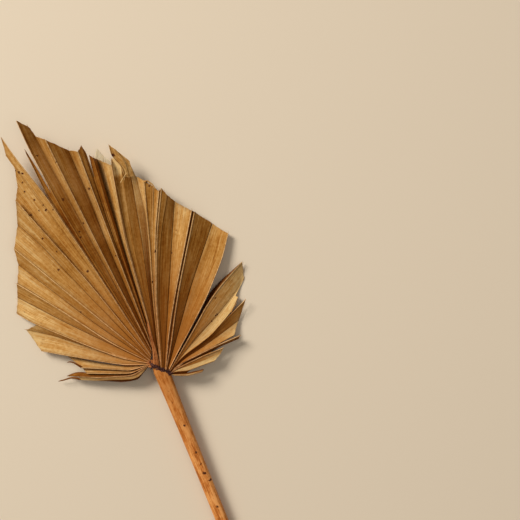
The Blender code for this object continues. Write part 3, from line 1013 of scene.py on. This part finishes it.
# Spots on the stalk: angle, distance from the hub and width in millimetres
STALK_SPOTS = (
    (179.0, 45, 1.6), (178.9, 66, 1.7), (179.0, 75, 1.3), (179.4, 82, 1.9), (178.8, 82.6, 1.8),
    (177.9, 88.5, 2.0), (179.5, 108, 1.5), (181.0, 150, 1.6), (179.2, 205, 1.9),
)
STALK_COLOURS = ((0.200, 0.046, 0.007), (0.525, 0.158, 0.023), (0.80, 0.35, 0.100))
STALK_RANGE = (1.71, 2.29)
PITH = (0.62, 0.40, 0.18)
BUNDLES_PER_METRE = 1500.0
BLOTCH_SHARE = 0.7
SPECKLE_SHARE = 0.5
WORN_SHOWS = (0.0, 1.0, 0.0, 0.35)
HEAD_SHOWS = (0.7, 0.96, 0.0, 0.55)
PITH_BY_EDGE = (-0.05, -0.4)
PITH_BY_BUNDLE = (0.15, 0.35)
STALK_DASHES = 0.55
STALK_ROUGHNESS = (0.42, 0.62)
STALK_BUMP = 0.7
STALK_SPECULAR = 0.12


def stem_material(name, fibres, spots, colours, extent):
    """Woody skin: grain along the stem in three colours, spread over a range of the summed fibre
    masks, with worn pale edges, redder wood at the head, pith in the cut end and dark spots."""
    material, tree, place, fibre, spot = grained(name, fibres, spots)
    edge, _, along = parts_of(tree, "look")
    blotch = maths(tree, "MULTIPLY", fibre["Blotches"], BLOTCH_SHARE)
    speckle = maths(tree, "MULTIPLY", fibre["Mottle"], SPECKLE_SHARE)
    mixed = maths(tree, "ADD", fibre["Threads"], fibre["Lines"], fibre["Streaks"], blotch, speckle)
    colour = ramp(tree, span(tree, mixed, *extent), colours)
    pale_share = span(tree, edge, *WORN_SHOWS)
    head = span(tree, along, *HEAD_SHOWS)
    values = {"Vector": place, "Scale": BUNDLES_PER_METRE}
    bundles = put(tree, "TexVoronoi", values).outputs["Distance"]
    pith = maths(tree, "MULTIPLY", span(tree, edge, *PITH_BY_EDGE), span(tree, bundles, *PITH_BY_BUNDLE))
    dark = maths(tree, "MAXIMUM", spot, maths(tree, "MULTIPLY", fibre["Dashes"], STALK_DASHES))
    for share, over in ((pale_share, colours[2]), (head, HUB_RED), (pith, PITH), (dark, SPECK_DARK)):
        colour = blended(tree, share, colour, over)
    surfaced(tree, colour, fibre["Threads"], STALK_ROUGHNESS, mixed, STALK_BUMP, STALK_SPECULAR)
    return material


stalk_spots = speck_group(STALK_SPOTS)
stalk = finished("stalk", *stalk_mesh(), STALK_SHARP)
stalk_skin = stem_material("stalk skin", fibres, stalk_spots, STALK_COLOURS, STALK_RANGE)
stalk.data.materials.append(stalk_skin)
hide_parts("petiole")
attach(stalk, "root")

# The crest, the shoulder and the middle rib
# Where the blade leaves the stalk a dark scaly crest stands up, slanting across the head. Behind it
# the wood spreads into a shoulder that holds the left ribs, and a reddish rib runs out under a fold.
CREST_WIDTHS = (1.0, 2.2, 2.6, 2.0, 2.3, 2.2, 2.6, 1.4)
CREST_HEIGHTS = (11.2, 12.2, 12.7, 12.8, 12.7, 12.4, 11.8, 10.6)
CREST_SEED = 17
# The core's flatness, seed and lumps
CREST_CORE = (0.5, 5, 0.35)
# The scales lie about along the crest's slant, each at a place and height of its own
SCALES = 26
SCALE_FIRST = 0.4
SCALE_LAST = 1.2
SCALE_LENGTH = (1.8, 4.6)
SCALE_WIDTH = (0.8, 2.1)
SCALE_TAPER = (0.5, 1.0, 0.3)
SCALE_SLANT = math.radians(-45.0)
SCALE_TURN = 0.7
SCALE_SHIFT = 0.65
SCALE_RISE = 0.7
SCALE_START = (-0.8, 0.2)
SCALE_END = (-1.2, 0.1)
SCALE_FLAT = 0.45
SCALE_LUMPS = 0.2
SCALE_SEEDS = 40
SHOULDER_PATH = ((-0.6, 2.2), (-2.2, 3.6), (-4.4, 5.0), (-6.6, 5.8), (-8.8, 6.6))
SHOULDER_WIDTHS = (3.0, 4.6, 5.4, 4.4, 2.4)
SHOULDER_HEIGHTS = (10.8, 11.2, 11.5, 11.3, 10.9)
COSTA_PATH = ((-2.0, 1.9), (-0.9, 6.0), (0.7, 11.5), (1.9, 16.7), (2.6, 24.0), (4.4, 35.4))
COSTA_WIDTHS = (5.6, 4.0, 2.9, 2.2, 1.5, 0.7)
COSTA_HEIGHTS = (11.7, 12.2, 12.6, 12.8, 12.9, 12.8)
# Each rib's flatness, seed and number of strands
SHOULDER_MAKE = (0.3, 6, 6)
COSTA_MAKE = (0.35, 9, 9)
RIB_LUMPS = 0.05
RIB_GROOVES = 0.12
STRAND_SEEDS = 20
STRAND_SPREAD = 0.95
STRAND_PLACE = (0.2, 0.8)
STRAND_SHIFT = 0.12
STRAND_FLAT = 0.6
STRAND_LUMPS = 0.1
STRAND_WIDTH = (0.7, 1.2)
STRAND_END = 0.35
CREST_COLOURS = ((0.011, 0.004, 0.004), (0.058, 0.018, 0.014), (0.34, 0.14, 0.085))
CREST_RANGE = (1.85, 2.6)
RIB_COLOURS = ((0.060, 0.013, 0.002), (0.300, 0.080, 0.014), (0.58, 0.23, 0.070))
RIB_RANGE = (1.82, 2.36)


def joined(shapes):
    """One mesh's points, faces and material values from those of several shapes."""
    points, faces, reads = [], [], {title: [] for title in shapes[0][2]}
    for some_points, some_faces, some_reads in shapes:
        first = sum(len(group) for group in points)
        points.append(some_points)
        faces += [tuple(corner + first for corner in face) for face in some_faces]
        for title, values in some_reads.items():
            reads[title].append(values)
    return np.concatenate(points), faces, {title: np.concatenate(values) for title, values in reads.items()}


def scaly_crest():
    """A ragged ridge: one lumpy core, and small scales laid over it at all angles."""
    draw = np.random.default_rng(CREST_SEED)
    core = tuple(zip(CREST_ACROSS, CREST_ALONG))
    shapes = [rod_shape(core, CREST_WIDTHS, CREST_HEIGHTS, *CREST_CORE)]
    for number in range(SCALES):
        station = draw.uniform(SCALE_FIRST, len(CREST_ACROSS) - SCALE_LAST)
        middle = [np.interp(station, range(len(line)), line) for line in (CREST_ACROSS, CREST_ALONG)]
        turn = SCALE_SLANT + draw.normal(0.0, SCALE_TURN)
        half = draw.uniform(*SCALE_LENGTH) / 2.0
        step = half * math.cos(turn), half * math.sin(turn)
        across, along = middle + draw.normal(0.0, SCALE_SHIFT, 2)
        path = ((across - step[0], along - step[1]), (across, along), (across + step[0], along + step[1]))
        top = np.interp(station, range(len(CREST_HEIGHTS)), CREST_HEIGHTS) + draw.uniform(0.0, SCALE_RISE)
        width = draw.uniform(*SCALE_WIDTH)
        widths = [width * share for share in SCALE_TAPER]
        heights = top + draw.uniform(*SCALE_START), top, top + draw.uniform(*SCALE_END)
        shapes.append(rod_shape(path, widths, heights, SCALE_FLAT, SCALE_SEEDS + number, SCALE_LUMPS))
    return joined(shapes)


def fibrous_rib(path, widths, heights, flat, seed, strands):
    """A tapering rib with loose strands lying along its top, each from the root to a place of its own."""
    draw = np.random.default_rng(seed)
    shapes = [rod_shape(path, widths, heights, flat, seed, RIB_LUMPS, grooves=RIB_GROOVES)]
    places = np.array(path)
    runs = np.gradient(places, axis=0)
    runs /= np.linalg.norm(runs, axis=1, keepdims=True)
    for number in range(strands):
        side = -STRAND_SPREAD + 2.0 * STRAND_SPREAD * (number + draw.uniform(*STRAND_PLACE)) / strands
        last = draw.integers(max(3, len(path) - 2), len(path) + 1)
        half = np.array(widths) / 2.0
        shifted = places + np.column_stack((runs[:, 1], -runs[:, 0])) * (side * half)[:, None]
        shifted += draw.normal(0.0, STRAND_SHIFT, shifted.shape)
        tops = np.array(heights) + math.sqrt(1.0 - side**2) * half * flat
        thick = np.linspace(draw.uniform(*STRAND_WIDTH), STRAND_END, last)
        own_seed = seed + STRAND_SEEDS + number
        shapes.append(rod_shape(shifted[:last], thick, tops[:last], STRAND_FLAT, own_seed, STRAND_LUMPS))
    return joined(shapes)


rib_skin = stem_material("rib skin", fibres, stalk_spots, RIB_COLOURS, RIB_RANGE)
crest_skin = stem_material("crest scale", fibres, stalk_spots, CREST_COLOURS, CREST_RANGE)
crest = finished("crest", *scaly_crest(), ROD_SHARP)
shoulder_shape = fibrous_rib(SHOULDER_PATH, SHOULDER_WIDTHS, SHOULDER_HEIGHTS, *SHOULDER_MAKE)
shoulder = finished("shoulder", *shoulder_shape, ROD_SHARP)
costa_shape = fibrous_rib(COSTA_PATH, COSTA_WIDTHS, COSTA_HEIGHTS, *COSTA_MAKE)
middle_rib = finished("middle_rib", *costa_shape, ROD_SHARP)
for piece, skin_finish in ((crest, crest_skin), (shoulder, rib_skin), (middle_rib, rib_skin)):
    piece.data.materials.append(skin_finish)
    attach(piece, "root")
